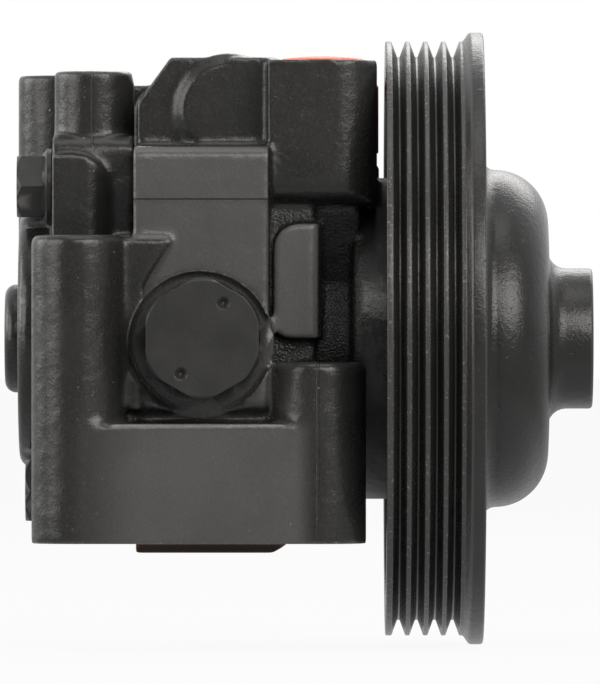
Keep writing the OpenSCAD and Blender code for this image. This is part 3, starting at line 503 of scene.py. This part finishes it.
def hollow_corners(bm, depth, spread):
    """Vertices in and near inside corners, where a casting has its fillets."""
    def rise(vert):
        return sum(vert.normal.dot(e.other_vert(vert).co - vert.co) for e in vert.link_edges)

    found = {v for v in bm.verts if rise(v) > depth * MM}
    for _ in range(spread):
        found |= {e.other_vert(v) for v in found for e in v.link_edges}
    return found


def soften(bm, verts, rounds):
    for _ in range(rounds):
        bmesh.ops.smooth_vert(bm, verts=verts, factor=0.5, use_axis_x=True, use_axis_y=True, use_axis_z=True)


def casting(name, node, bores, voxel, triangles, finish):
    """A cast piece: its solid's skin, remeshed evenly and rounded as a sand mould rounds it."""
    bm = through(skin(node), "REMESH", mode="VOXEL", voxel_size=voxel * MM, adaptivity=0.0)
    bm.normal_update()
    cast = {v for v in bm.verts if not in_bores(v.co, bores)}
    fillets = hollow_corners(bm, depth=0.12, spread=3) & cast
    soften(bm, list(fillets), 14)
    soften(bm, list(cast), 3)
    bm = through(bm, "DECIMATE", ratio=min(1.0, triangles / (2.0 * len(bm.faces))))
    return piece(name, bm, "housing", node, finish, smooth_angle=60.0)


def edged(name, node, finish, width, length_axis=None):
    """A piece of the housing with its solid's shape and small rounded edges.

    Rings inside its wide faces keep the lighter corner paint near the edges, which is partly rubbed paint
    and partly painted highlight. The sides of a piece with a length axis have two of them.
    """
    bm = skin(node)
    bmesh.ops.dissolve_limit(bm, angle_limit=math.radians(0.5), verts=bm.verts, edges=bm.edges)
    bm = through(bm, "BEVEL", width=width * MM, segments=3, profile=0.5, limit_method="ANGLE",
                 angle_limit=math.radians(32), use_clamp_overlap=True, harden_normals=False)
    wide = [f for f in bm.faces if f.calc_area() > 4 * MM * MM]
    sides = [f for f in wide if length_axis is not None and abs(f.normal[length_axis]) < 0.5]
    for faces in (wide, sides):
        bmesh.ops.inset_individual(bm, faces=faces, thickness=0.15 * MM, depth=0.0, use_even_offset=True)
    return piece(name, bm, "housing", node, finish, smooth_angle=14.0)


def pulley_section():
    """The pulley's corners from the rim's back round to its inside: radius, station, rounding."""
    rim_inside, rim_back, web_back = 51.95, -7.93, 8.2
    dome, dome_front, dome_inside, dome_hollow = 33.4, 24.3, 30.2, 21.1
    sleeve, bore = 12.5, 8.52
    floor_half = 0.25
    tip_half = floor_half + (RIB_TIP - GROOVE_FLOOR) * math.tan(math.radians(20))
    corners = [(rim_inside, rim_back, 0.4), (RIB_TIP, rim_back, 0.3)]
    for groove in range(4):
        middle = (groove - 1.5) * GROOVE_PITCH
        corners += [(RIB_TIP, middle - tip_half, 0.18), (GROOVE_FLOOR, middle - floor_half, 0.16),
                    (GROOVE_FLOOR, middle + floor_half, 0.16), (RIB_TIP, middle + tip_half, 0.18)]
    return corners + [
        (RIB_TIP, 7.42, 0.3), (FLANGE_RADIUS, FLANGE_BACK, 0.5), (FLANGE_RADIUS, FLANGE_FRONT, 0.55),
        (dome, FLANGE_FRONT, 2.4), (dome, dome_front, 10.6), (HUB_RADIUS, dome_front, 3.6),
        (HUB_RADIUS, HUB_END, 0.7), (bore, HUB_END, 0.4), (bore, web_back, 0.3),
        (sleeve, web_back, 0.5), (sleeve, dome_hollow, 1.5), (dome_inside, dome_hollow, 7.2),
        (dome_inside, web_back, 2.0), (rim_inside, web_back, 2.0)]


def belt_pulley(finish):
    """The pulley: a fine section with rounded corners, spun about the shaft."""
    steps = 200
    corners = pulley_section()
    bm = bmesh.new()
    ring = [bm.verts.new((x * MM, 0, radius * MM)) for radius, x, _ in corners]
    for first, second in zip(ring, ring[1:] + ring[:1]):
        bm.edges.new((first, second))
    for vert, (_, _, rounding) in zip(ring, corners):
        bmesh.ops.bevel(bm, geom=[vert], offset=rounding * MM, offset_type="OFFSET", affect="VERTICES",
                        segments=max(3, round(rounding * 1.6)), profile=0.5, material=-1)
    half_step = Matrix.Rotation(math.tau / (2 * steps), 3, "X")
    bmesh.ops.rotate(bm, verts=bm.verts, cent=(0, 0, 0), matrix=half_step)
    bmesh.ops.spin(bm, geom=bm.verts[:] + bm.edges[:], cent=(0, 0, 0), axis=(1, 0, 0), angle=math.tau,
                   steps=steps, use_merge=True)
    bmesh.ops.remove_doubles(bm, verts=bm.verts, dist=1e-6)
    bmesh.ops.recalc_face_normals(bm, faces=bm.faces)
    return piece("belt_pulley", bm, "rotating_group", "pulley", finish, smooth_angle=35.0)


def coil_spring(finish):
    """The flow valve's spring, a piece on the housing with a mesh of its own. The real spring shortens
    towards the plug as the spool slides; here only the share of its length left at full travel is worked
    out, and nothing uses it.
    """
    joints = {joint["name"]: joint for joint in frame["record"]["behaviour"]["joints"]}
    travel = joints["spool_slide"]["range_m"][1]
    low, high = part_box("valve_spring")
    length = high[1] - low[1]
    made = piece("flow_valve_spring", skin("valve_spring"), "housing", "valve_spring", finish)
    (length - travel) / length
    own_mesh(made)


# Finishes and pieces
black_casting = casting_paint()
black_pulley = pulley_paint()
black_fastener = fastener_paint()
shaft_steel = turned_steel("turned_shaft_steel", 0.55, 0.24, (1, 0.05, 0.05))
ring_steel = turned_steel("ground_ring_steel", 0.62, 0.16, (0.2, 1, 1))
dark_steel = turned_steel("oiled_spring_steel", 0.30, 0.30, (1, 1, 1))
bronze = bearing_bronze()
rubber = seal_rubber()
orange = orange_plastic()

casting("main_body_casting", "main_body", BODY_BORES, 0.5, 195000, black_casting)
casting("rear_cover_casting", "rear_cover", COVER_BORES, 0.45, 120000, black_casting)
belt_pulley(black_pulley)
edged("valve_plug_hexagon", "valve_plug", black_fastener, 0.35)
edged("cover_flange_bolts", "cover_bolts", black_fastener, 0.3, length_axis=0)
edged("rear_end_cap", "rear_cap", black_casting, 0.3)
edged("outlet_shipping_plug", "outlet_plug", orange, 0.25)
edged("inlet_shipping_cap", "inlet_cap", orange, 0.25)
coil_spring(dark_steel)

KEPT_NODES = {
    shaft_steel: ["drive_shaft", "dowel_pins", "valve_spool"],
    ring_steel: ["cam_ring", "pressure_plate", "rotor", "vanes", "bearing_outer_ring",
                 "bearing_inner_ring", "bearing_balls"],
    dark_steel: ["rotor_clip", "bearing_clip", "seal_spring", "inlet_tube"],
    bronze: ["rear_bush", "bearing_cage", "outlet_seat"],
    rubber: ["cover_seal", "plate_seals", "bearing_shields", "shaft_seal", "plug_seal"],
}
for finish, names in KEPT_NODES.items():
    for name in names:
        dress(frame["nodes"][name].data, finish)


def studio_floor(level):
    """A pale table that shows white to the camera and in gloss, and keeps the shadow."""
    floor = surface("pale_floor", Base_Color=grey(0.36), Roughness=0.9, Specular_IOR_Level=0.1)
    reach = floor.node("VectorMath", {"operation": "LENGTH"}, {0: floor.place}, "Value")
    table = floor.step(reach, TABLE_END + 0.05, TABLE_END)
    seen = floor.ray("Camera") + floor.ray("Transmission") + floor.ray("Glossy") * table * 0.8
    glow = floor.node("Emission", {}, {"Color": grey(1)})
    matt = Wire(floor, floor.shader.outputs[0])
    floor.join(floor.tree.nodes["Material Output"].inputs[0],
               floor.node("MixShader", {}, {0: seen * 0.93, 1: matt, 2: glow}))
    bm = bmesh.new()
    bmesh.ops.create_circle(bm, cap_ends=True, segments=96, radius=30,
                            matrix=Matrix.Translation((0, 0, level)))
    made = place_mesh("studio_floor", bm, floor.owner)


def studio_world():
    """White behind the pump, to the camera and in gloss, and a softer light from in front."""
    world = Finish(bpy.data.worlds.new("white_studio"), "Background", {"Color": grey(1)})
    bpy.context.scene.world = world.owner
    way = world.node("SeparateXYZ", {}, {0: world.node("TexCoord", {}, {}, "Generated")}, "Y")
    soft = 0.13 + world.step(way, -0.75, 0.45) * 0.87
    behind = world.ray("Glossy") * world.step(way, 0.1, 0.6)
    seen = world.ray("Camera") + world.ray("Transmission") + behind
    world.set({"Strength": soft * (1 - seen) + seen})


def soft_box(name, azimuth, elevation, distance, width, height, power):
    """An area light aimed at the pump. Azimuth 0 is in front, and it grows to the right."""
    lamp = bpy.data.lights.new(name, "AREA")
    lamp.shape = "RECTANGLE"
    lamp.size = width
    lamp.size_y = height
    lamp.energy = power
    lamp.color = (1.0, 0.985, 0.965)
    made = bpy.data.objects.new(name, lamp)
    turn, rise = math.radians(azimuth), math.radians(elevation)
    reach = math.cos(rise)
    way = Vector((math.sin(turn) * reach, -math.cos(turn) * reach, math.sin(rise)))
    made.location = LIGHT_AIM + way * distance
    made.rotation_euler = way.to_track_quat("Z", "Y").to_euler()
    bpy.context.scene.collection.objects.link(made)


def photo_camera():
    """The camera of the photograph, far in front and level with the shaft."""
    camera = bpy.data.cameras.new("photo_camera")
    camera.sensor_fit = "HORIZONTAL"
    camera.sensor_width = 36.0
    camera.lens = camera.sensor_width * CAMERA_DISTANCE / PHOTO_WIDTH
    camera.clip_end = 20
    made = bpy.data.objects.new("photo_camera", camera)
    made.location = (PHOTO_X, -CAMERA_DISTANCE, PHOTO_Z)
    made.rotation_euler = (math.radians(90), 0, 0)
    bpy.context.scene.collection.objects.link(made)
    bpy.context.scene.camera = made


# Studio
studio_floor(cad_box[0][2] - 0.2 * MM)
studio_world()
soft_box("left_soft_box", -65, 18, 1.3, 0.75, 0.8, 8.8)
soft_box("side_soft_box", -105, 16, 1.3, 0.6, 0.6, 5.0)
soft_box("right_soft_box", 34, 25, 1.4, 0.85, 0.75, 15.0)
soft_box("top_soft_box", 10, 75, 1.4, 0.9, 0.7, 3.8)
soft_box("front_soft_box", 2, 30, 1.5, 0.4, 0.5, 4.2)
soft_box("back_soft_box", 165, 35, 1.5, 0.9, 0.7, 6.0)
photo_camera()
bpy.context.scene.view_settings.view_transform = "Standard"
